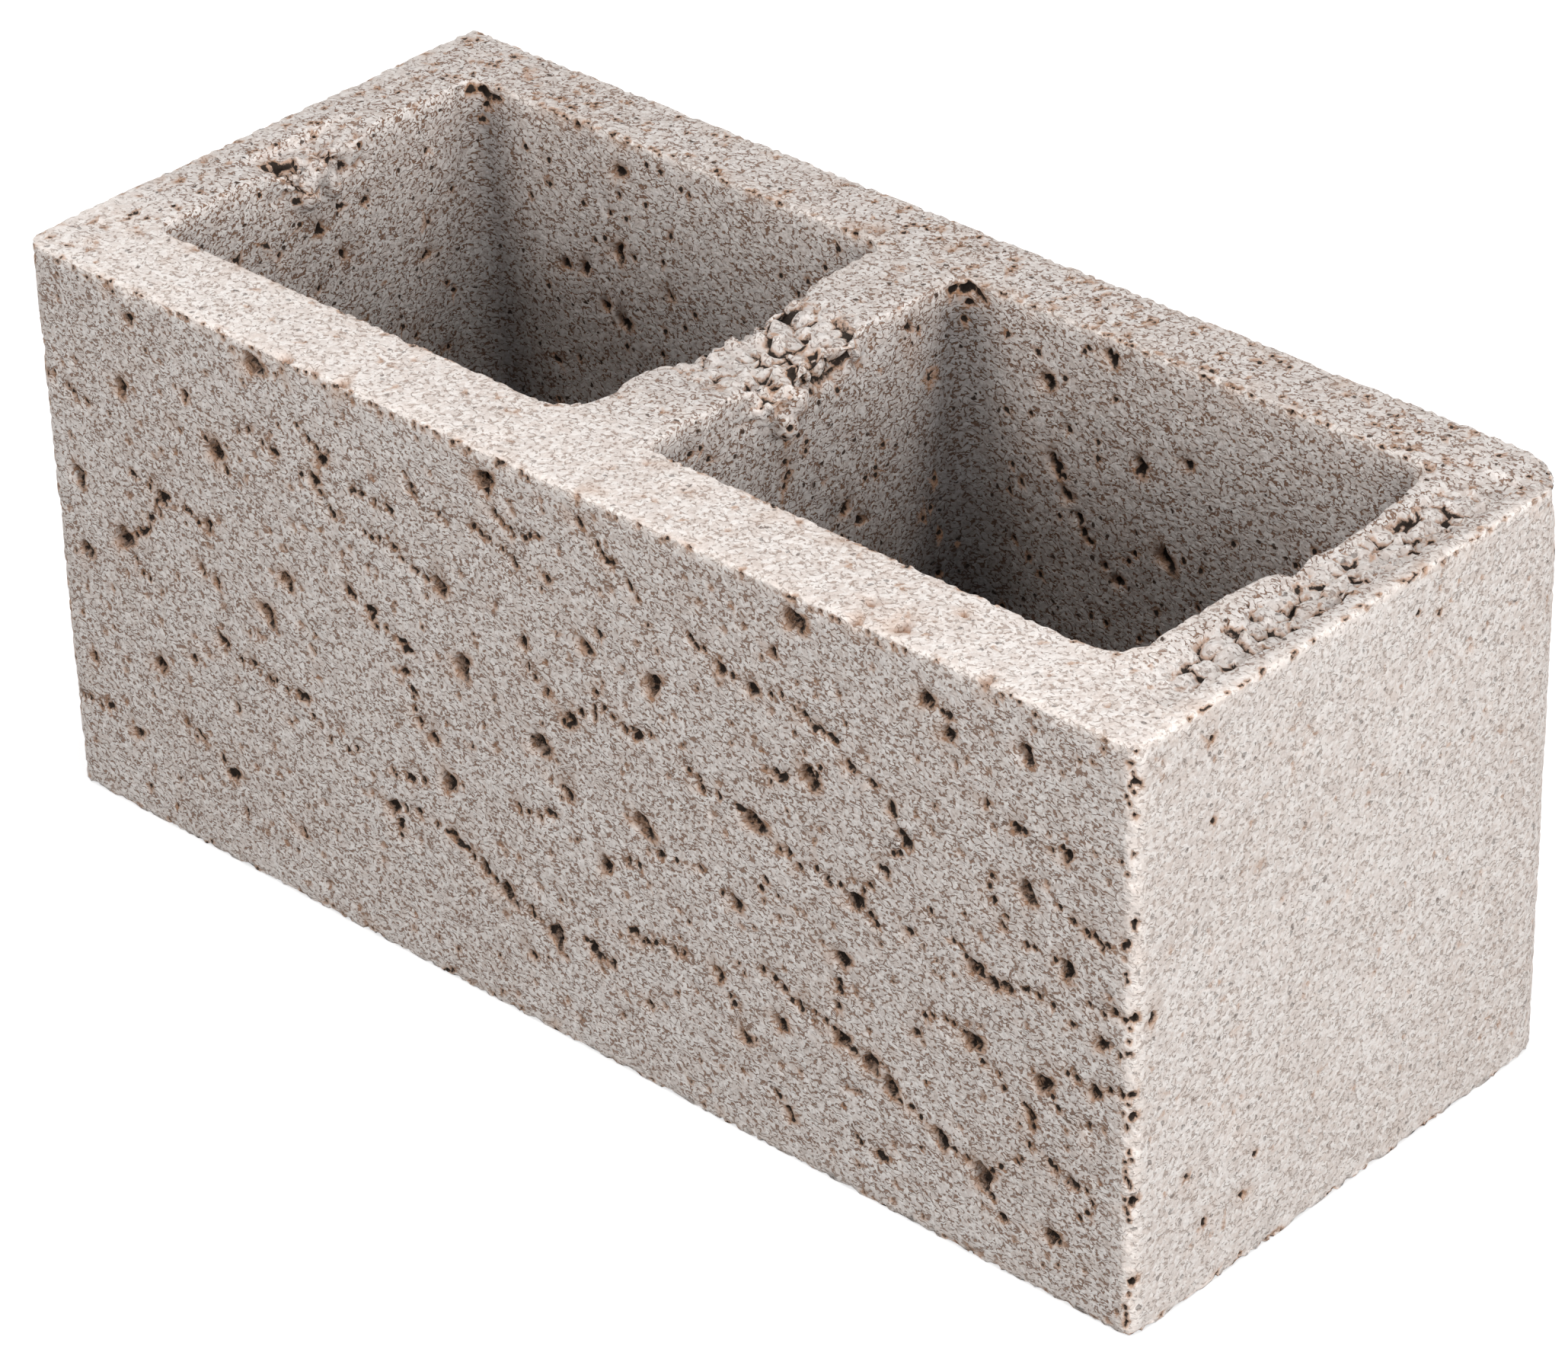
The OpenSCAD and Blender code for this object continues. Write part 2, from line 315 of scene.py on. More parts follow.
# How many notches there are along each edge
FRONT_NOTCHES = 90
BACK_NOTCHES = 60
END_NOTCHES = 40
FRONT_UPRIGHT_NOTCHES = 45
BACK_UPRIGHT_NOTCHES = 30
CELL_NOTCHES = 45
# How far the notches of the upright front edges lie aside
UPRIGHT_ASIDE = 1.6

# Unevenness of the faces, and of the long faces alone: half its depth, the width of its features and its seed
UNEVEN = ((0.12, 30, 41), (0.10, 7, 42))
UNEVEN_LONG = (0.12, 2.4, 43)

# Crumbling edges: mean, then the share, width and seed of each noise, then depth and reach
CRUMBLE_MEAN = 0.35
CRUMBLE = ((0.5, 4.5, 21), (1.2, 1.8, 22))
CRUMBLE_DEPTH = 0.6
CRUMBLE_REACH = 1.7
PALE_REACH = 2.4

# The worn top corner at the near end of the back face
WORN_DEPTH = 2.5
WORN_REACH = 12

# Wandering rims: mean, then the share, width and seed of each noise, then how far out and down they reach
WAVE_MEAN = 0.3
WAVE = ((0.8, 6, 31), (0.6, 3, 32))
WAVE_OUT = 5
WAVE_UNDER = 2
WAVE_DOWN = 8
# How squarely a rim has to face along the length to be a web's, and how softly that begins
WEB_SIDE = 0.6
WEB_SOFT = 0.3

# Rough web tops: middle in x, half size and softness in x and y, and size and depth of the crumbs
BAND_MID_X = (NEAR_RIM_X + HALF_LENGTH - 1) / 2
ROUGH_WEBS = (
    (FAR_RIM_X - 3, (6, 12), (2.5, 6), 5.0, 1.5),
    ((CENTRE_FAR_X + CENTRE_NEAR_X) / 2, (16, 18), (3, 8), 5.2, 1.6),
    (BAND_MID_X, (6, 52), (2, 8), 4.6, 1.5),
)
ROUGH_UNDER = 8
ROUGH_DOWN = 5

# Crumbs: where they begin, how far they stray, how much lower they sit, and the share that is lost
CRUMB_LEAST = 0.02
CRUMB_STRAY = 0.42
CRUMB_DROP = 0.6
CRUMB_LOST = 0.05
LOST_DROP = 1.4
# Radius of a crumb as a share of its size, and the power of its roundness
CRUMB_RADIUS = 0.6
CRUMB_ROUND = 2.5
# Creases between crumbs, darkened with painted shade: how fast and from where it sets in, how dark it gets,
# and their width and softness
CREASE_RISE = 4
CREASE_START = 3.5
CREASE_MOST = 0.75
CREASE_WIDTH = 0.08
CREASE_SOFT = 0.1

# Painted shade of the cells: at the top of a wall, added lower down, on the back wall, in the corners, and at
# most
SHADE_TOP = 0.18
SHADE_LOWER = 0.5
SHADE_BACK = 0.75
SHADE_BACK_POWER = 2.2
SHADE_CORNER = 0.6
SHADE_MOST = 0.88
# Share of the height over which the painted shade grows, and the depths over which it sets in
SHADE_FULL = 0.8
SHADE_RIM = 5
CORNER_RIM = 10
# Reach of the painted shade from a corner at the top, what it gains downwards, and the thickness of a wall's
# skin
CORNER_REACH = 10
CORNER_GAIN = 25
WALL_SKIN = 4

# How thickly the long faces are marked, and what is taken off or added elsewhere
MARKS = 0.8
END_LESS = 0.45
TOP_LESS = 0.35
WEB_LESS = 0.35
CELL_MORE = 0.2
END_SKIN = 2
# The back part of the top is greyer with painted shade: where that begins, how softly, and how much
BACK_START = 25
BACK_SOFT = 30
BACK_PAINTED_SHADE = 0.2

# Places darker than this stay dense when the mesh is thinned
KEEP_PIT = 0.15


# Smooth noise

NOISE_SIDE = 64


def noise(points, size, seed):
    """Smooth noise from -1 to 1 whose features are about size millimetres wide."""
    table = np.random.default_rng(seed).uniform(-1, 1, (NOISE_SIDE,) * 3)
    scaled = np.asarray(points) / size + NOISE_SIDE
    cell = np.floor(scaled).astype(int)
    part = scaled - cell
    part = part * part * (3 - 2 * part)
    total = np.zeros(len(scaled))
    for corner in np.ndindex(2, 2, 2):
        weight = np.ones(len(scaled))
        for axis in range(3):
            weight *= part[:, axis] if corner[axis] else 1 - part[:, axis]
        index = (cell + corner) % NOISE_SIDE
        total += weight * table[index[:, 0], index[:, 1], index[:, 2]]
    return total


def fade(distance, reach):
    """One at no distance, falling smoothly to nothing past reach."""
    return np.exp(-(distance / reach) ** 2)


def fade_past(distance, limit, reach):
    """One up to limit, falling smoothly to nothing past limit and reach."""
    return fade(np.maximum(distance - limit, 0), reach)


def noise_sum(points, mean, parts):
    """Sum of a mean and noises, or nothing where it is less: each part is a share, a width and a seed."""
    total = np.full(len(points), mean)
    for share, size, seed in parts:
        total += share * noise(points, size, seed)
    return np.maximum(total, 0)


# Dense mesh that the surface is worked in

def as_mesh(piece):
    """Mesh of a piece with its modifiers applied."""
    depsgraph = bpy.context.evaluated_depsgraph_get()
    return bpy.data.meshes.new_from_object(piece.evaluated_get(depsgraph))


def dense_mesh(piece):
    """Copy of the CAD solid in even small cells."""
    work = bmesh.new()
    work.from_mesh(NODE.data)
    bmesh.ops.remove_doubles(work, verts=work.verts, dist=0.001 * MM)
    work.to_mesh(piece.data)
    work.free()
    remesh = piece.modifiers.new("cells", "REMESH")
    remesh.mode = "VOXEL"
    remesh.voxel_size = VOXEL * MM
    made = as_mesh(piece)
    piece.modifiers.remove(remesh)
    return made


def find_tree(points):
    """Search tree over points."""
    tree = kdtree.KDTree(len(points))
    for index, point in enumerate(points):
        tree.insert(point, index)
    tree.balance()
    return tree


class Surface:
    """The dense mesh in millimetres, with what is sunk into it, how each place is stained, and the shade and
    shadows painted on it.
    """

    def __init__(self, mesh):
        count = len(mesh.vertices)
        places = np.zeros(count * 3)
        mesh.vertices.foreach_get("co", places)
        self.points = places.reshape(-1, 3) / MM
        directions = np.zeros(count * 3)
        mesh.vertex_normals.foreach_get("vector", directions)
        self.normals = directions.reshape(-1, 3)
        self.tree = find_tree(self.points)
        self.sunk = np.zeros(count)
        self.slide = np.zeros((count, 3))
        self.pit = np.zeros(count)
        self.stain = np.zeros(count)
        self.arris = np.zeros(count)
        self.painted_shade = np.zeros(count)
        self.marks = np.zeros(count)
        self.chain = np.zeros(count)
        self.web = np.zeros(count)

    def dig(self, place, normal, width, depth, stain=1.0, shadow_strength=1.0):
        """Sinks an uneven pit at a place on a face, down to depth under that face, and paints its stain and
        the shadow in it.
        """
        place = np.array(place, float)
        normal = np.array(normal, float)
        radius = width / 2
        found = [index for _, index, _ in self.tree.find_range(place, PIT_REACH * radius + depth + 1)]
        if not found:
            return
        index = np.array(found)
        offset = self.points[index] - place
        side = np.cross(normal, ASLANT)
        side /= np.linalg.norm(side)
        across = offset @ side
        along = offset @ np.cross(normal, side)
        angle = np.arctan2(along, across)
        outline = np.ones(len(index))
        turns = rng.uniform(0, 2 * math.pi, len(PIT_WAVES))
        for (waves, reach), turn in zip(PIT_WAVES, turns):
            outline += reach * np.sin(waves * angle + turn)
        away = np.hypot(along, across)
        ratio = away / (radius * outline)
        steep = np.clip(offset @ (STEEP_SIDE - normal * (normal @ STEEP_SIDE)) / radius, -1, 1)
        under = -offset @ normal - self.slide[index] @ normal
        wanted = depth * np.clip(1 - ratio ** (PIT_SLOPE + STEEPER * steep), 0, 1)
        more = np.where(wanted > 0, np.clip(wanted - under, 0, depth), 0)
        self.slide[index] -= more[:, None] * normal
        painted_shadow_radius = np.maximum(radius * outline, LEAST_SHADOW)
        painted_shadow = np.clip(SHADOW_REACH - away / painted_shadow_radius * (1 - SHADOW_LEAN * steep), 0, 1)
        facing = np.clip(2 * self.normals[index] @ normal, 0, 1)
        # Painted shadow in the pit, darker towards its steep side
        self.pit[index] = np.maximum(self.pit[index], shadow_strength * facing * painted_shadow)
        self.stain[index] = np.maximum(self.stain[index], stain * np.clip(STAIN_REACH - ratio, 0, 1))

    def pit_from(self, origin, direction, width, depth, stain=1.0, shadow_strength=1.0):
        """Sinks a pit where the face is met from origin."""
        met = strike(origin, direction)
        if met is not None:
            self.dig(met[0], met[1], width, depth, stain, shadow_strength)


# Pits that the photo shows

def some_width(widths):
    """A width between two, more often near the smaller one."""
    return widths[0] + (widths[1] - widths[0]) * rng.uniform() ** 2


def chain_steps(chain, gap):
    """Places about gap apart along a chain, each a little off it."""
    for start, end in zip(chain, chain[1:]):
        steps = max(2, round(math.dist(start, end) / gap))
        for step in range(steps):
            part = (step + rng.uniform(0, CHAIN_LAG)) / steps
            place = np.array(start) + part * np.subtract(end, start) + rng.normal(0, CHAIN_STRAY, 2)
            if rng.uniform() > CHAIN_SKIPS:
                yield place


def dig_front(surface):
    for x, z, width in FRONT_PITS:
        surface.dig((x, -HALF_WIDTH, z), FRONT, width, FACE_DEEP * width)
    for chain in FRONT_CHAINS:
        for x, z in chain_steps(chain, CHAIN_GAP):
            width = some_width(CHAIN_WIDTHS)
            surface.dig((x, -HALF_WIDTH, z), FRONT, width, CHAIN_DEEP * width, CHAIN_STAIN)


def crack_chains(surface):
    """How near each place on the front face is to a chain."""
    skin = 4
    index = np.flatnonzero(surface.points[:, 1] < skin - HALF_WIDTH)
    flat = surface.points[index][:, (0, 2)]
    for chain in FRONT_CHAINS:
        for start, end in zip(chain, chain[1:]):
            run = np.subtract(end, start)
            part = np.clip((flat - start) @ run / (run @ run), 0, 1)
            apart = np.linalg.norm(flat - start - part[:, None] * run, axis=1)
            near = rng.uniform(CRACK_FAINT, 1) * fade(apart, CRACK_REACH)
            surface.chain[index] = np.maximum(surface.chain[index], near)


def dig_back(surface):
    """The solid's back face has the larger pits of its front face, turned round."""
    for x, z, width in FRONT_PITS:
        if width >= LARGE_PIT:
            surface.dig((-x, HALF_WIDTH, z), BACK, width, FACE_DEEP * width)


def dig_end(surface):
    for y, z, width in END_PITS:
        surface.dig((HALF_LENGTH, y, z), NEAR, width, EDGE_DEEP * width)
    inward = np.array((-1, 1, 0)) / math.sqrt(2)
    for z, width in EDGE_NOTCHES:
        outside = np.array((HALF_LENGTH, -HALF_WIDTH, z)) - width * inward
        surface.pit_from(outside, inward, width, EDGE_DEEP * width)


def dig_top(surface):
    for x, y, width in TOP_PITS:
        surface.dig((x, y, HEIGHT), UP, width, EDGE_DEEP * width, 1.0, TOP_SHADOW)
    for x, y, width, depth in GAPS:
        surface.dig((x, y, HEIGHT), UP, width, depth)


def dig_cells(surface):
    for x, z, width in BACK_WALL_PITS:
        surface.pit_from((x, CELL_MID_Y, z), BACK, width, WALL_DEEP * width)
    for cell, y, z, width in FAR_WALL_PITS:
        middle = (CELLS[cell][0] + CELLS[cell][1]) / 2
        surface.pit_from((middle, y, z), FAR, width, WALL_DEEP * width)
    near_middle = (NEAR_CELL[0] + NEAR_CELL[1]) / 2
    for x, z in chain_steps(BACK_WALL_CHAIN, BACK_WALL_GAP):
        width = rng.uniform(*BACK_WALL_WIDTHS)
        surface.pit_from((x, CELL_MID_Y, z), BACK, width, WALL_DEEP * width)
    for y, z in chain_steps(WEB_WALL_CHAIN, WEB_WALL_GAP):
        width = rng.uniform(*WEB_WALL_WIDTHS)
        surface.pit_from((near_middle, y, z), FAR, width, WALL_DEEP * width)
    inward = np.array((1, -1, 0)) / math.sqrt(2)
    for low_x, _, _, high_y in CELLS:
        for aside, under, width in CORNER_PITS:
            place = (low_x + CORNER_INSET + aside, high_y - CORNER_INSET + aside, HEIGHT - under)
            surface.dig(place, inward, width, CHAIN_DEEP * width)


# Pits strewn over every face, as a cast block has them

def strew(surface, part, met_from, count, widths, shadow_strength=1.0):
    """Strews pits of a range of widths over part of a face, met from outside it."""
    low, high = zip(*part)
    axes, origin, direction = met_from
    for _ in range(count):
        place = np.array(origin, float)
        place[list(axes)] = rng.uniform(low, high)
        width = some_width(widths)
        surface.pit_from(place, direction, width, STREWN_DEEP * width, STREWN_STAIN, shadow_strength)


def dig_strewn(surface):
    along = (-HALF_LENGTH + FACE_MARGIN, HALF_LENGTH - FACE_MARGIN)
    across = (-HALF_WIDTH + FACE_MARGIN, HALF_WIDTH - FACE_MARGIN)
    up = (FACE_MARGIN, HEIGHT - FACE_MARGIN)
    long_face = (along, up)
    end_face = (across, up)
    flat_face = (along, across)
    back_shell = (along, (FAR_CELL[3] + 1, HALF_WIDTH - 2))
    far_web = ((-HALF_LENGTH + 2, FAR_CELL[0] - 1), across)
    # The axes that vary over a face, where it is met from, and in which direction
    from_front = ((0, 2), (0, -WIDTH, 0), BACK)
    from_back = ((0, 2), (0, WIDTH, 0), FRONT)
    from_near = ((1, 2), (LENGTH, 0, 0), FAR)
    from_far = ((1, 2), (-LENGTH, 0, 0), NEAR)
    from_above = ((0, 1), (0, 0, 2 * HEIGHT), DOWN)
    from_below = ((0, 1), (0, 0, -HEIGHT), UP)
    # Each part of a face, where it is met from, the number of pits, their widths and how dark the painted
    # shadow in them is
    strewn = (
        (long_face, from_front, 420, (1.2, 2.4), 0.7),
        (long_face, from_back, 70, (2.4, 4.8), 1.0),
        (long_face, from_back, 600, (1.2, 2.4), 0.7),
        (end_face, from_near, 120, (0.8, 1.6), 0.42),
        (end_face, from_far, 14, (2, 4), 1.0),
        (end_face, from_far, 160, (0.8, 1.8), 0.42),
        (flat_face, from_above, 260, (0.8, 1.8), 0.5),
        (back_shell, from_above, 110, (1.0, 2.6), 0.8),
        (far_web, from_above, 50, (1.0, 2.4), 0.8),
        (flat_face, from_below, 320, (1.2, 4), 1.0),
    )
    for part, met_from, count, widths, shadow_strength in strewn:
        strew(surface, part, met_from, count, widths, shadow_strength)
    for low_x, high_x, low_y, high_y in CELLS:
        middle = ((low_x + high_x) / 2, CELL_MID_Y, 0)
        shell_wall = ((low_x + CELL_MARGIN, high_x - CELL_MARGIN), up)
        web_wall = ((low_y + CELL_MARGIN, high_y - CELL_MARGIN), up)
        strew(surface, shell_wall, ((0, 2), middle, BACK), 90, (0.9, 2.2))
        strew(surface, shell_wall, ((0, 2), middle, FRONT), 90, (0.9, 4))
        strew(surface, web_wall, ((1, 2), middle, FAR), 80, (0.9, 2.2))
        strew(surface, web_wall, ((1, 2), middle, NEAR), 80, (0.9, 4))


def notch_edge(surface, count, start, end, inward, aside=0.0):
    """Strews small notches along the edge between two places, or a little aside from it."""
    start = np.array(start, float)
    run = np.subtract(end, start)
    inward = np.array(inward) / np.linalg.norm(inward)
    sideways = np.cross(inward, run / np.linalg.norm(run))
    for _ in range(count):
        place = start + rng.uniform() * run + rng.normal(aside, NOTCH_STRAY) * sideways
        width = some_width(NOTCH_WIDTHS)
        outside = place - NOTCH_OUTSIDE * inward
        surface.pit_from(outside, inward, width, EDGE_DEEP * width, NOTCH_STAIN, NOTCH_SHADOW)


def dig_notches(surface):
    for sy, count in ((-1, FRONT_NOTCHES), (1, BACK_NOTCHES)):
        far = (-HALF_LENGTH, sy * HALF_WIDTH)
        near = (HALF_LENGTH, sy * HALF_WIDTH)
        notch_edge(surface, count, (*far, HEIGHT), (*near, HEIGHT), (0, -sy, -1), -sy)
        notch_edge(surface, count, (*far, 0), (*near, 0), (0, -sy, 1))
    for sx in (-1, 1):
        front = (sx * HALF_LENGTH, -HALF_WIDTH)
        back = (sx * HALF_LENGTH, HALF_WIDTH)
        aside = -UPRIGHT_ASIDE * sx
        notch_edge(surface, END_NOTCHES, (*front, HEIGHT), (*back, HEIGHT), (-sx, 0, -1))
        notch_edge(surface, END_NOTCHES, (*front, 0), (*back, 0), (-sx, 0, 1))
        notch_edge(surface, FRONT_UPRIGHT_NOTCHES, (*front, 0), (*front, HEIGHT), (-sx, 1, 0), aside)
        notch_edge(surface, BACK_UPRIGHT_NOTCHES, (*back, 0), (*back, HEIGHT), (-sx, -1, 0))
    for low_x, high_x, low_y, high_y in CELLS:
        for y, toward in ((low_y, -1), (high_y, 1)):
            notch_edge(surface, CELL_NOTCHES, (low_x, y, HEIGHT), (high_x, y, HEIGHT), (0, toward, -1))


# Worn edges, wavy rims and rough web tops

def from_cell(points, cell, lean, corner, near_corner):
    """Distance of each place outside a cell's wall, and the direction away from the cell."""
    low_x, high_x, low_y, high_y = cell
    middle = np.array(((low_x + high_x) / 2, (low_y + high_y) / 2))
    half = np.array(((high_x - low_x) / 2, (high_y - low_y) / 2))
    offset = points[:, :2] - middle
    radius = np.where((offset[:, 0] > 0) & (offset[:, 1] < 0), near_corner, corner)
    past = np.abs(offset) - half + (lean + radius)[:, None]
    outside = np.maximum(past, 0)
    reach = np.hypot(outside[:, 0], outside[:, 1])
    away = np.where(reach[:, None] > TINY, outside, past >= past.max(axis=1)[:, None])
    away = away * np.sign(offset)
    away = away / np.maximum(np.linalg.norm(away, axis=1), TINY)[:, None]
    return reach + np.minimum(past.max(axis=1), 0) - radius, away


def from_rim(points, cell):
    """Distance outside a cell's outline at the top, and the direction away from it."""
    return from_cell(points, cell, 0 * points[:, 2], CORNER_TOP, NEAR_CORNER_TOP)


def from_wall(points, cell):
    """Distance outside a cell's wall at each place's own height."""
    down = np.clip(1 - points[:, 2] / HEIGHT, 0, 1)
    corner = CORNER_TOP + (CORNER_BOTTOM - CORNER_TOP) * down
    near_corner = NEAR_CORNER_TOP + (CORNER_BOTTOM - NEAR_CORNER_TOP) * down
    return from_cell(points, cell, CELL_LEAN * down, corner, near_corner)[0]


def wear_edges(surface):
    """Crumbles the edges of the block and of the cells, and marks them as pale."""
    points = surface.points
    to_end = HALF_LENGTH - np.abs(points[:, 0])
    to_side = HALF_WIDTH - np.abs(points[:, 1])
    to_top = HEIGHT - points[:, 2]
    to_bottom = points[:, 2]
    to_face = np.minimum(to_end, to_side)
    gaps = CORNER_GAPS[(points[:, 0] > 0).astype(int), (points[:, 1] > 0).astype(int)]
    edges = [np.hypot(to_end, to_side) - gaps, np.hypot(to_face, to_top), np.hypot(to_face, to_bottom)]
    for cell in CELLS:
        edges.append(np.hypot(from_rim(points, cell)[0], to_top))
        edges.append(np.hypot(from_wall(points, cell), to_bottom))
    edge = np.maximum(np.min(edges, axis=0), 0)
    crumble = noise_sum(points, CRUMBLE_MEAN, CRUMBLE)
    surface.sunk += CRUMBLE_DEPTH * fade(edge, CRUMBLE_REACH) * crumble
    surface.arris = np.maximum(surface.arris, fade(edge, PALE_REACH))
    worn = np.sqrt((HALF_LENGTH - points[:, 0]) ** 2 + (HALF_WIDTH - points[:, 1]) ** 2 + to_top ** 2)
    surface.sunk += WORN_DEPTH * fade(worn, WORN_REACH)


def wave_rims(surface):
    """Lets the rims of the cells wander a little along the webs."""
    points = surface.points
    to_top = HEIGHT - points[:, 2]
    wave = noise_sum(points * (1, 1, 0), WAVE_MEAN, WAVE)
    for cell in CELLS:
        distance, away = from_rim(points, cell)
        on_web = np.clip((np.abs(away[:, 0]) - WEB_SIDE) / WEB_SOFT, 0, 1)
        reach = fade_past(distance, 0, WAVE_OUT) * fade_past(to_top, WAVE_UNDER, WAVE_DOWN)
        surface.slide[:, :2] += (wave * reach * on_web)[:, None] * away


def crumb(surface, mask, size, depth):
    """Breaks the masked part of the surface into crumbs with sharp creases between them, darkened with
    painted shade.
    """
    surface.web = np.maximum(surface.web, mask)
    index = np.flatnonzero(mask > CRUMB_LEAST)
    chosen = surface.points[index]
    counts = np.ceil(np.ptp(chosen, axis=0) / size).astype(int) + 3
    seeds = np.array(list(np.ndindex(*counts)), float) - 1
    seeds = chosen.min(axis=0) + size * (seeds + rng.uniform(-CRUMB_STRAY, CRUMB_STRAY, seeds.shape))
    drop = CRUMB_DROP * rng.uniform(size=len(seeds))
    drop += LOST_DROP * (rng.uniform(size=len(seeds)) < CRUMB_LOST)
    tree = find_tree(seeds)
    found = [tree.find_n(point, 2) for point in chosen]
    owner = np.array([first[1] for first, _ in found])
    ratio = np.array([first[2] for first, _ in found]) / (CRUMB_RADIUS * size)
    gap = np.array([second[2] - first[2] for first, second in found]) / size
    surface.sunk[index] += mask[index] * (depth * ratio ** CRUMB_ROUND + drop[owner])
    # Painted shade in the creases between crumbs
    painted_crease_shade = mask[index] * np.clip(CREASE_RISE * ratio - CREASE_START, 0, CREASE_MOST)
    painted_crease_shade = painted_crease_shade * fade_past(gap, CREASE_WIDTH, CREASE_SOFT)
    surface.pit[index] = np.maximum(surface.pit[index], painted_crease_shade)


def roughen(surface):
    """Uneven cast faces, with the web tops broken into crumbs where the core bars lay."""
    points = surface.points
    for depth, size, seed in UNEVEN:
        surface.sunk += depth + depth * noise(points, size, seed)
    depth, size, seed = UNEVEN_LONG
    surface.sunk += np.abs(surface.normals[:, 1]) * (depth + depth * noise(points, size, seed))
    near_top = fade_past(HEIGHT - points[:, 2], ROUGH_UNDER, ROUGH_DOWN)
    off_middle = np.abs(points[:, 1] - CELL_MID_Y)
    for middle, half, soft, size, depth in ROUGH_WEBS:
        on_web = fade_past(np.abs(points[:, 0] - middle), half[0], soft[0])
        on_web = on_web * fade_past(off_middle, half[1], soft[1])
        crumb(surface, on_web * near_top, size, depth)


# Painted shade, and how marked each part is

def paint_cell_shade(surface):
    """Painted shade on the walls of the cells: darker and greyer lower down and in the corners."""
    points = surface.points
    under = np.clip(HEIGHT - points[:, 2], 0, HEIGHT)
    down = under / HEIGHT
    lower = np.clip(down / SHADE_FULL, 0, 1)
    to_front = np.clip(-surface.normals[:, 1], 0, 1)
    for cell in CELLS:
        low_x, high_x, low_y, high_y = cell
        inside = np.clip(1.5 - np.abs(from_wall(points, cell)) / WALL_SKIN, 0, 1)
        inside = inside * np.clip(under / SHADE_RIM, 0, 1)
        to_corner = np.hypot(
            np.minimum(points[:, 0] - low_x, high_x - points[:, 0]),
            np.minimum(points[:, 1] - low_y, high_y - points[:, 1]),
        )
        # Painted shade, growing downwards and into the corners
        painted_shade = (SHADE_TOP + SHADE_LOWER * lower) * (1 - to_front)
        painted_shade += SHADE_BACK * lower ** SHADE_BACK_POWER * to_front
        corner_shade = fade(to_corner, CORNER_REACH + CORNER_GAIN * down) * np.clip(under / CORNER_RIM, 0, 1)
        painted_shade += SHADE_CORNER * corner_shade
        surface.painted_shade = np.maximum(surface.painted_shade, inside * np.minimum(painted_shade, SHADE_MOST))


def mark_faces(surface):
    """How thickly each part is marked: least on the ends, most at the back of the top and in the cells; and
    painted shade on the back of the top.
    """
    points = surface.points
    to_end = HALF_LENGTH - np.abs(points[:, 0])
    on_top = np.clip(2 * surface.normals[:, 2] - 1, 0, 1)
    toward_back = np.clip((points[:, 1] + HALF_WIDTH - BACK_START) / BACK_SOFT, 0, 1)
    surface.marks = MARKS - END_LESS * fade_past(to_end, END_SKIN, END_SKIN)
    surface.marks += TOP_LESS * on_top * (toward_back - 1)
    surface.marks += CELL_MORE * (surface.painted_shade > 0) - WEB_LESS * surface.web
    # Painted shade on the back part of the top
    surface.painted_shade = np.maximum(surface.painted_shade, BACK_PAINTED_SHADE * on_top * toward_back)


# The finished piece

def put_attribute(mesh, name, values):
    layer = mesh.attributes.new(name, "FLOAT", "POINT")
    layer.data.foreach_set("value", values.astype(np.float32))


def work_surface(surface):
    """Digs, wears and marks the surface."""
    dig_front(surface)
    crack_chains(surface)
    dig_back(surface)
    dig_end(surface)
    dig_top(surface)
    dig_cells(surface)
    dig_strewn(surface)
    dig_notches(surface)
    wear_edges(surface)
    wave_rims(surface)
    roughen(surface)
    paint_cell_shade(surface)
    mark_faces(surface)


def thin_mesh(piece, surface):
    """The piece's mesh in fewer triangles, most of them in the pits."""
    keep = piece.vertex_groups.new(name="keep")
    keep.add(np.flatnonzero(surface.pit > KEEP_PIT).tolist(), 1.0, "REPLACE")
    thin = piece.modifiers.new("thin", "DECIMATE")
    thin.vertex_group = keep.name
    thin.invert_vertex_group = True
    thin.ratio = TRIANGLES / sum(len(face.vertices) - 2 for face in piece.data.polygons)
    made = as_mesh(piece)
    piece.modifiers.remove(thin)
    piece.vertex_groups.clear()
    return made


def make_block():
    """The block as it is seen, made from a copy of the CAD solid."""
    piece = bpy.data.objects.new("block_visual", bpy.data.meshes.new("block_visual"))
    bpy.context.scene.collection.objects.link(piece)
    dense = dense_mesh(piece)
    surface = Surface(dense)
    work_surface(surface)
    worked = surface.points - surface.normals * surface.sunk[:, None] + surface.slide
    worked = np.clip(worked, BOX_LOW, BOX_HIGH)
    dense.vertices.foreach_set("co", (worked * MM).ravel())
    dense.update()
    piece.data = dense
    made = thin_mesh(piece, surface)
    tree = find_tree(worked)
    nearest = np.array([tree.find(vertex.co / MM)[1] for vertex in made.vertices])
    for name in ("pit", "stain", "arris", "painted_shade", "marks", "chain"):
        put_attribute(made, name, getattr(surface, name)[nearest])
    made.shade_smooth()
    piece.data = made
    return piece


# Shader helpers

def put(tree, kind, inputs, **settings):
    """Adds a shader node and joins or sets its inputs."""
    node = tree.nodes.new(kind)
    for name, value in settings.items():
        setattr(node, name, value)
    for name, value in inputs.items():
        if isinstance(value, bpy.types.NodeSocket):
            tree.links.new(value, node.inputs[name])
        else:
            node.inputs[name].default_value = value
    return node


def maths(tree, operation, first, second):
    return put(tree, "ShaderNodeMath", {0: first, 1: second}, operation=operation).outputs[0]


def vectors(tree, operation, inputs):
    return put(tree, "ShaderNodeVectorMath", inputs, operation=operation).outputs[0]


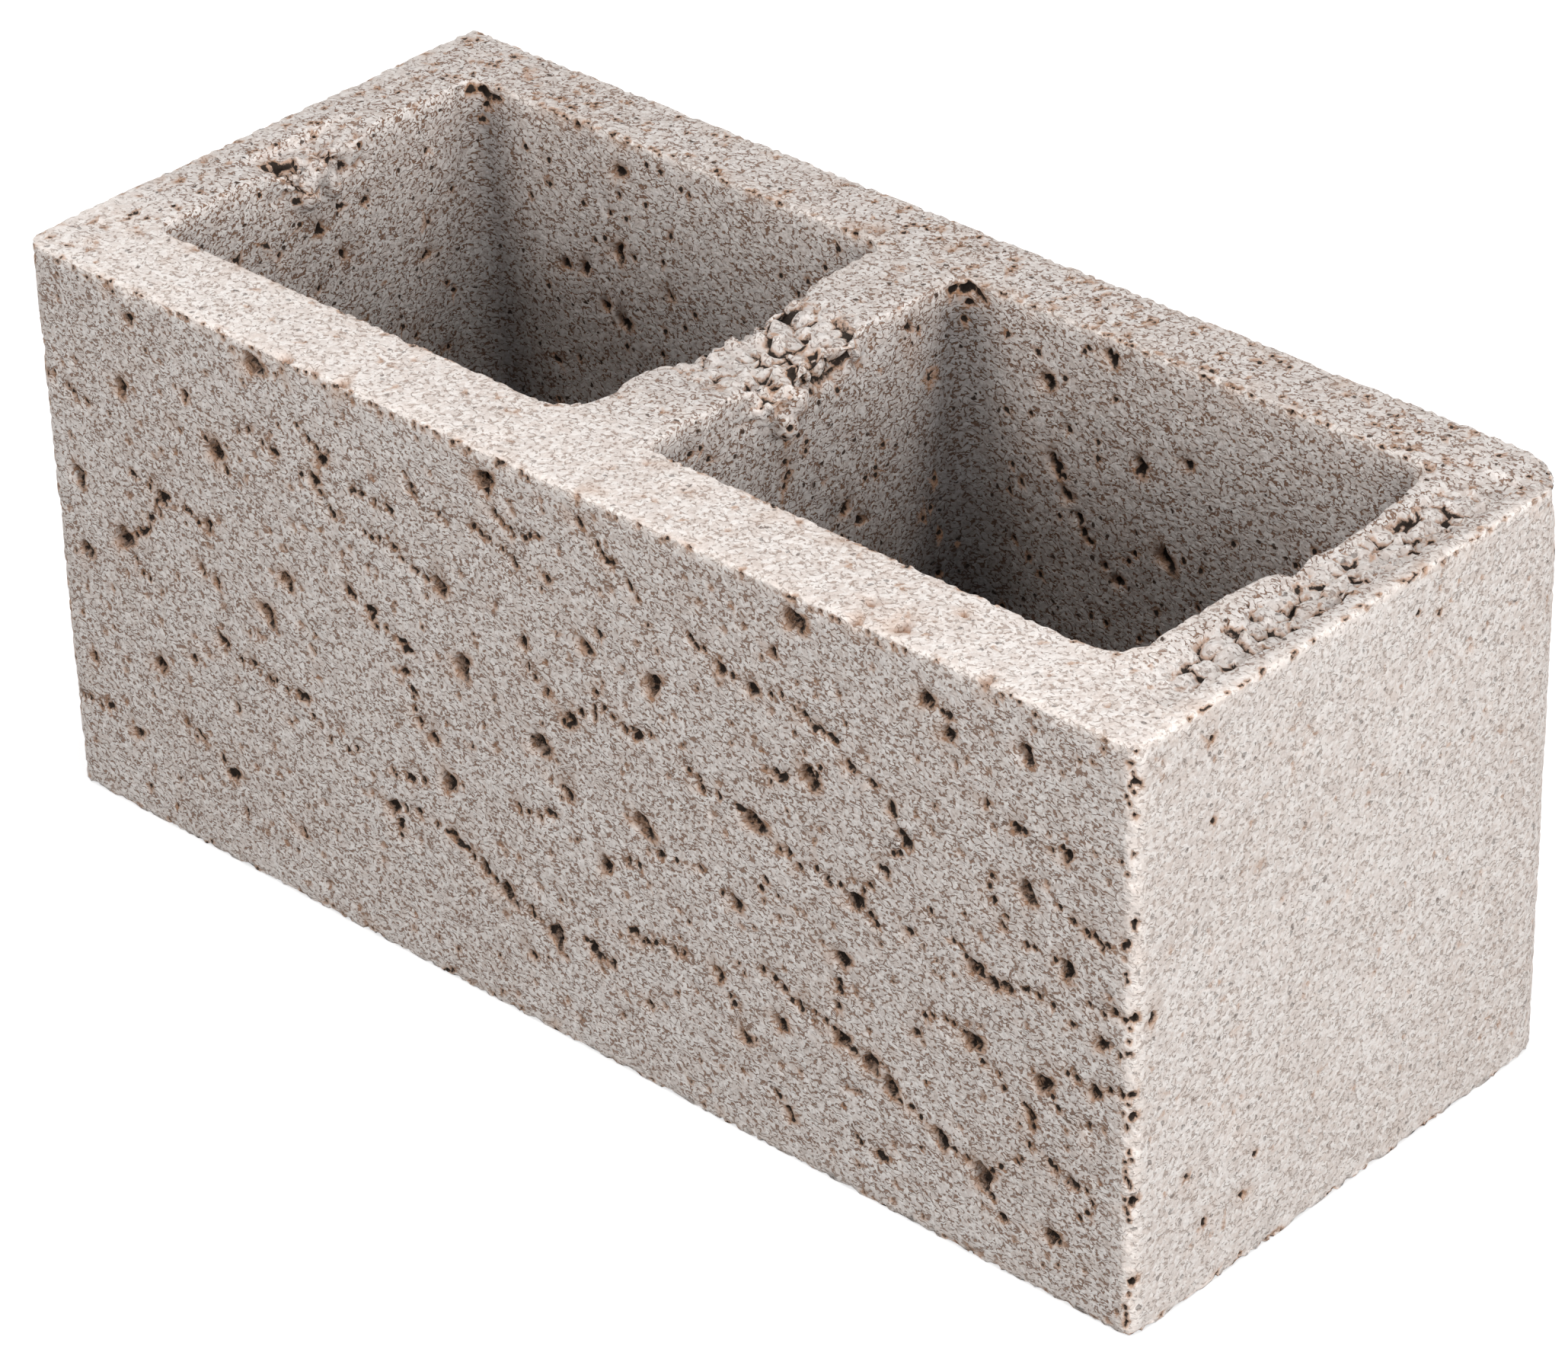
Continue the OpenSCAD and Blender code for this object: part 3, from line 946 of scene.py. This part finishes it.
def spread(tree, value, low, high, to_low=0.0, to_high=1.0):
    """Maps value from one range to another, kept within it."""
    inputs = {"Value": value, "From Min": low, "From Max": high, "To Min": to_low, "To Max": to_high}
    return put(tree, "ShaderNodeMapRange", inputs).outputs[0]


def blend(tree, factor, first, second, mode="MIX"):
    """Mixes two colours."""
    inputs = {0: factor, 6: first, 7: second}
    return put(tree, "ShaderNodeMix", inputs, data_type="RGBA", blend_type=mode).outputs[2]


def speckle(tree, vector, size, detail=2.0, roughness=0.5, distortion=0.0):
    """Noise whose features are about size millimetres wide."""
    inputs = {
        "Vector": vector, "Scale": 1 / (size * MM), "Detail": detail, "Roughness": roughness,
        "Distortion": distortion,
    }
    return put(tree, "ShaderNodeTexNoise", inputs).outputs[0]


def slits(tree, vector, size, share, edge):
    """Short slits in some of the cells of about size millimetres: one inside, nothing outside."""
    cells = put(tree, "ShaderNodeTexVoronoi", {"Vector": vector, "Scale": 1 / (size * MM)})
    chosen = spread(tree, cells.outputs["Color"], *share)
    return maths(tree, "MULTIPLY", spread(tree, cells.outputs["Distance"], *edge, 1.0, 0.0), chosen)


def attribute(tree, name):
    return put(tree, "ShaderNodeAttribute", {}, attribute_name=name).outputs["Fac"]


# Concrete

CEMENT = (0.72, 0.64, 0.595, 1)
PALE_CEMENT = (0.80, 0.73, 0.69, 1)
WARM_PATCH = (0.74, 0.62, 0.55, 1)
DARK_GRAIN = (0.40, 0.33, 0.29, 1)
PALE_GRANULE = (0.97, 0.93, 0.90, 1)
STROKE_BROWN = (0.26, 0.155, 0.105, 1)
CRACK_BROWN = (0.07, 0.04, 0.025, 1)
PALE_EDGE = (0.97, 0.87, 0.80, 1)
STAIN_BROWN = (0.50, 0.30, 0.19, 1)
PINHOLE_BROWN = (0.08, 0.05, 0.035, 1)
# Tint multiplied in for the painted shade
PAINTED_SHADE_TINT = (0.10, 0.105, 0.115, 1)
PIT_RIM = (0.45, 0.24, 0.13, 1)
# Painted shadow in the pits, notches and creases
PIT_PAINTED_SHADOW = (0.02, 0.015, 0.012, 1)

# Widths of what is seen in the concrete, and how far its strokes sway
GRAIN_SIZE = 1.0
CLOUD_SIZE = 45
PATCH_SIZE = 8
GRANULE_SIZE = 1.3
STROKE_SIZE = 1.45
GATE_SIZE = 1.4
SWAY_SIZE = 1.6
SWAY_REACH = 1.8

# Slant of the strokes, and how they are drawn out along each axis
STROKE_SLANT = (0.0, math.radians(25), 0.0)
STROKE_STRETCH = (0.5, 0.7, 1.15)

# Pinholes: distance apart, range of the cells' shades that have one, and range of their soft edge
PINHOLE_GAP = 4.2
PINHOLE_SHARE = (0.5, 0.54)
PINHOLE_EDGE = (0.12, 0.18)

# How the concrete takes light
ROUGHNESS = 0.92
SPECULAR = 0.2
BUMP_STRENGTH = 0.8
BUMP_DEPTH = 0.5


def swayed(tree, place):
    """Places moved about by noise, so that what is drawn there curves."""
    sway = {"Vector": place, "Scale": 1 / (SWAY_SIZE * MM), "Detail": 1.0}
    sway = put(tree, "ShaderNodeTexNoise", sway).outputs["Color"]
    sway = vectors(tree, "SUBTRACT", {0: sway, 1: (0.5, 0.5, 0.5)})
    sway = vectors(tree, "SCALE", {0: sway, "Scale": SWAY_REACH * MM})
    return vectors(tree, "ADD", {0: place, 1: sway})


def strokes(tree, place, moved, marks, chain):
    """Short curved strokes, more of them where a face is thickly marked and along the chains."""
    slant = {"Vector": moved, "Rotation": STROKE_SLANT, "Scale": STROKE_STRETCH}
    drawn = put(tree, "ShaderNodeMapping", slant).outputs[0]
    worm = maths(tree, "SUBTRACT", speckle(tree, drawn, STROKE_SIZE, 1.0), 0.5)
    worm = maths(tree, "ABSOLUTE", worm, 0.0)
    worm = maths(tree, "SUBTRACT", worm, maths(tree, "MULTIPLY", chain, 0.03))
    gate = maths(tree, "ADD", speckle(tree, place, GATE_SIZE, 1.0), maths(tree, "MULTIPLY", marks, 0.16))
    gate = maths(tree, "ADD", gate, maths(tree, "MULTIPLY", chain, 0.06))
    line = spread(tree, worm, 0.03, 0.06, 1.0, 0.0)
    return maths(tree, "MULTIPLY", line, spread(tree, gate, 0.55, 0.61))


def cement(tree, place, patch, grain, granules, marks):
    """Clouded warm grey with darker grain and pale granules."""
    cloud = speckle(tree, place, CLOUD_SIZE, 3.0, 0.55)
    colour = blend(tree, spread(tree, cloud, 0.35, 0.65), CEMENT, PALE_CEMENT)
    colour = blend(tree, spread(tree, patch, 0.4, 0.7, 0.0, 0.35), colour, WARM_PATCH)
    rough = maths(tree, "MULTIPLY", spread(tree, grain, 0.3, 0.6, 0.6, 0.0), marks)
    colour = blend(tree, rough, colour, DARK_GRAIN)
    return blend(tree, spread(tree, granules.outputs["Color"], 0.35, 0.75, 0.0, 0.6), colour, PALE_GRANULE)


def relief(tree, grain, stroke, pinhole, granules):
    """Fine bump of the grain, granules, strokes and pinholes."""
    height = maths(tree, "MULTIPLY", grain, 0.6)
    height = maths(tree, "SUBTRACT", height, maths(tree, "MULTIPLY", stroke, 0.6))
    height = maths(tree, "SUBTRACT", height, pinhole)
    height = maths(tree, "SUBTRACT", height, maths(tree, "MULTIPLY", granules.outputs["Distance"], 0.5))
    inputs = {"Height": height, "Strength": BUMP_STRENGTH, "Distance": BUMP_DEPTH * MM}
    return put(tree, "ShaderNodeBump", inputs).outputs[0]


def concrete():
    """Warm grey cast concrete with fine strokes, pinholes, brown-rimmed pits, pale edges, painted shadow in
    the pits and painted shade in the cells.
    """
    material = bpy.data.materials.new("concrete")
    material.use_nodes = True
    tree = material.node_tree
    shader = tree.nodes["Principled BSDF"]
    place = put(tree, "ShaderNodeTexCoord", {}).outputs["Object"]
    moved = swayed(tree, place)
    marks = attribute(tree, "marks")
    chain = attribute(tree, "chain")
    grain = speckle(tree, place, GRAIN_SIZE, 2.0, 0.6, 0.4)
    patch = speckle(tree, place, PATCH_SIZE)
    granules = put(tree, "ShaderNodeTexVoronoi", {"Vector": moved, "Scale": 1 / (GRANULE_SIZE * MM)})
    stroke = strokes(tree, place, moved, marks, chain)
    pinhole = slits(tree, moved, PINHOLE_GAP, PINHOLE_SHARE, PINHOLE_EDGE)
    marked = spread(tree, marks, 0.3, 0.9, 0.45, 1.0)
    ragged = maths(tree, "MULTIPLY", maths(tree, "SUBTRACT", grain, 0.5), 0.5)
    pit = maths(tree, "ADD", attribute(tree, "pit"), ragged)

    colour = cement(tree, place, patch, grain, granules, marks)
    ink = blend(tree, chain, STROKE_BROWN, CRACK_BROWN)
    colour = blend(tree, maths(tree, "MULTIPLY", stroke, marked), colour, ink)
    colour = blend(tree, maths(tree, "MULTIPLY", attribute(tree, "arris"), 0.4), colour, PALE_EDGE)
    brown = maths(tree, "MULTIPLY", attribute(tree, "stain"), spread(tree, patch, 0.35, 0.65, 0.2, 0.6))
    colour = blend(tree, brown, colour, STAIN_BROWN)
    colour = blend(tree, maths(tree, "MULTIPLY", pinhole, marked), colour, PINHOLE_BROWN)
    # Painted shade in the cells and on the back part of the top
    colour = blend(tree, attribute(tree, "painted_shade"), colour, PAINTED_SHADE_TINT, "MULTIPLY")
    colour = blend(tree, spread(tree, pit, 0.2, 0.42, 0.0, 0.6), colour, PIT_RIM)
    # Painted shadow inside the pits, notches and creases
    colour = blend(tree, spread(tree, pit, 0.48, 0.66, 0.0, 0.97), colour, PIT_PAINTED_SHADOW)

    tree.links.new(colour, shader.inputs["Base Color"])
    tree.links.new(relief(tree, grain, stroke, pinhole, granules), shader.inputs["Normal"])
    shader.inputs["Roughness"].default_value = ROUGHNESS
    shader.inputs["Specular IOR Level"].default_value = SPECULAR
    return material


# Floor, light and camera

FLOOR_SIZE = 8.0
# Colour of the floor as it lights the block and as it is seen, and what lifts it to white
FLOOR_DIM = (0.10, 0.10, 0.10, 1)
FLOOR_PALE = (0.55, 0.55, 0.55, 1)
FLOOR_LIFT = 0.62
WHITE = (1, 1, 1, 1)
ROOM_LEVEL = 0.12
# Soft lamps: where each stands as seen from the block, how far away, its size and its power
LAMPS = {
    "overhead": ((0.05, -0.05, 1.0), 2.2, 1.6, 32.0),
    "end": ((1.0, -0.05, 0.30), 2.2, 1.2, 33.5),
    "front": ((0.05, -1.0, 0.30), 2.2, 1.2, 22.5),
    "back": ((-0.05, 1.0, 0.15), 2.2, 1.2, 15.0),
    "far": ((-1.0, 0.05, 0.15), 2.2, 1.2, 15.0),
}


def seen_directly(tree):
    """One for rays that come straight, mirrored or refracted from the camera."""
    path = put(tree, "ShaderNodeLightPath", {})
    shown = maths(tree, "ADD", path.outputs["Is Camera Ray"], path.outputs["Is Glossy Ray"])
    shown = maths(tree, "ADD", shown, path.outputs["Is Transmission Ray"])
    return maths(tree, "MINIMUM", shown, 1.0)


def floor_paint():
    """Pale floor that reads as white and keeps the shadow."""
    material = bpy.data.materials.new("floor")
    material.use_nodes = True
    tree = material.node_tree
    tree.nodes.clear()
    plain = put(tree, "ShaderNodeBsdfDiffuse", {"Color": FLOOR_DIM})
    pale = put(tree, "ShaderNodeBsdfDiffuse", {"Color": FLOOR_PALE})
    lift = put(tree, "ShaderNodeEmission", {"Color": WHITE, "Strength": FLOOR_LIFT})
    shown = put(tree, "ShaderNodeAddShader", {0: pale.outputs[0], 1: lift.outputs[0]})
    both = {0: seen_directly(tree), 1: plain.outputs[0], 2: shown.outputs[0]}
    mixed = put(tree, "ShaderNodeMixShader", both)
    put(tree, "ShaderNodeOutputMaterial", {"Surface": mixed.outputs[0]})
    return material


def make_floor():
    half = FLOOR_SIZE / 2
    mesh = bpy.data.meshes.new("floor")
    corners = [(-half, -half, 0), (half, -half, 0), (half, half, 0), (-half, half, 0)]
    mesh.from_pydata(corners, [], [(0, 1, 2, 3)])
    floor = bpy.data.objects.new("floor", mesh)
    bpy.context.scene.collection.objects.link(floor)
    mesh.materials.append(floor_paint())


def make_room():
    """Even white room light, white behind the block."""
    world = bpy.data.worlds.new("room")
    world.use_nodes = True
    tree = world.node_tree
    level = spread(tree, seen_directly(tree), 0.0, 1.0, ROOM_LEVEL, 1.0)
    tree.nodes["Background"].inputs["Color"].default_value = WHITE
    tree.links.new(level, tree.nodes["Background"].inputs["Strength"])
    bpy.context.scene.world = world


def make_lamps():
    """Large soft lamps over the block, at its ends, before its front face and behind it."""
    for name, (toward, away, size, power) in LAMPS.items():
        lamp = bpy.data.lights.new(name, "AREA")
        lamp.shape = "SQUARE"
        lamp.size = size
        lamp.energy = power
        direction = Vector(toward).normalized()
        holder = bpy.data.objects.new(name, lamp)
        holder.location = direction * away
        holder.rotation_mode = "QUATERNION"
        holder.rotation_quaternion = direction.to_track_quat("Z", "Y")
        bpy.context.scene.collection.objects.link(holder)


CAMERA_AZIMUTH = math.radians(43.811)
CAMERA_ELEVATION = math.radians(31.924)
CAMERA_ROLL = math.radians(-1.648)
CAMERA_PLACE = Vector((933.1, -970.2, 910.0)) * MM
CAMERA_LENS = 133.4
CAMERA_SENSOR = 36.0


def make_camera():
    """Camera over the near end of the front face, as in the photo."""
    flat = math.cos(CAMERA_ELEVATION)
    back = Vector((
        math.sin(CAMERA_AZIMUTH) * flat,
        -math.cos(CAMERA_AZIMUTH) * flat,
        math.sin(CAMERA_ELEVATION),
    ))
    right = Vector((math.cos(CAMERA_AZIMUTH), math.sin(CAMERA_AZIMUTH), 0))
    up = back.cross(right)
    turned_right = math.cos(CAMERA_ROLL) * right + math.sin(CAMERA_ROLL) * up
    turned_up = math.cos(CAMERA_ROLL) * up - math.sin(CAMERA_ROLL) * right
    lens = bpy.data.cameras.new("camera")
    lens.sensor_width = CAMERA_SENSOR
    lens.lens = CAMERA_LENS
    camera = bpy.data.objects.new("camera", lens)
    turn = Matrix((turned_right, turned_up, back)).transposed()
    camera.matrix_world = Matrix.Translation(CAMERA_PLACE) @ turn.to_4x4()
    bpy.context.scene.collection.objects.link(camera)
    bpy.context.scene.camera = camera


# Assembly

block = make_block()
block.data.materials.clear()
block.data.materials.append(concrete())
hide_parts("block")
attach(block, "root")
make_floor()
make_room()
make_lamps()
make_camera()
bpy.context.scene.view_settings.view_transform = "Standard"
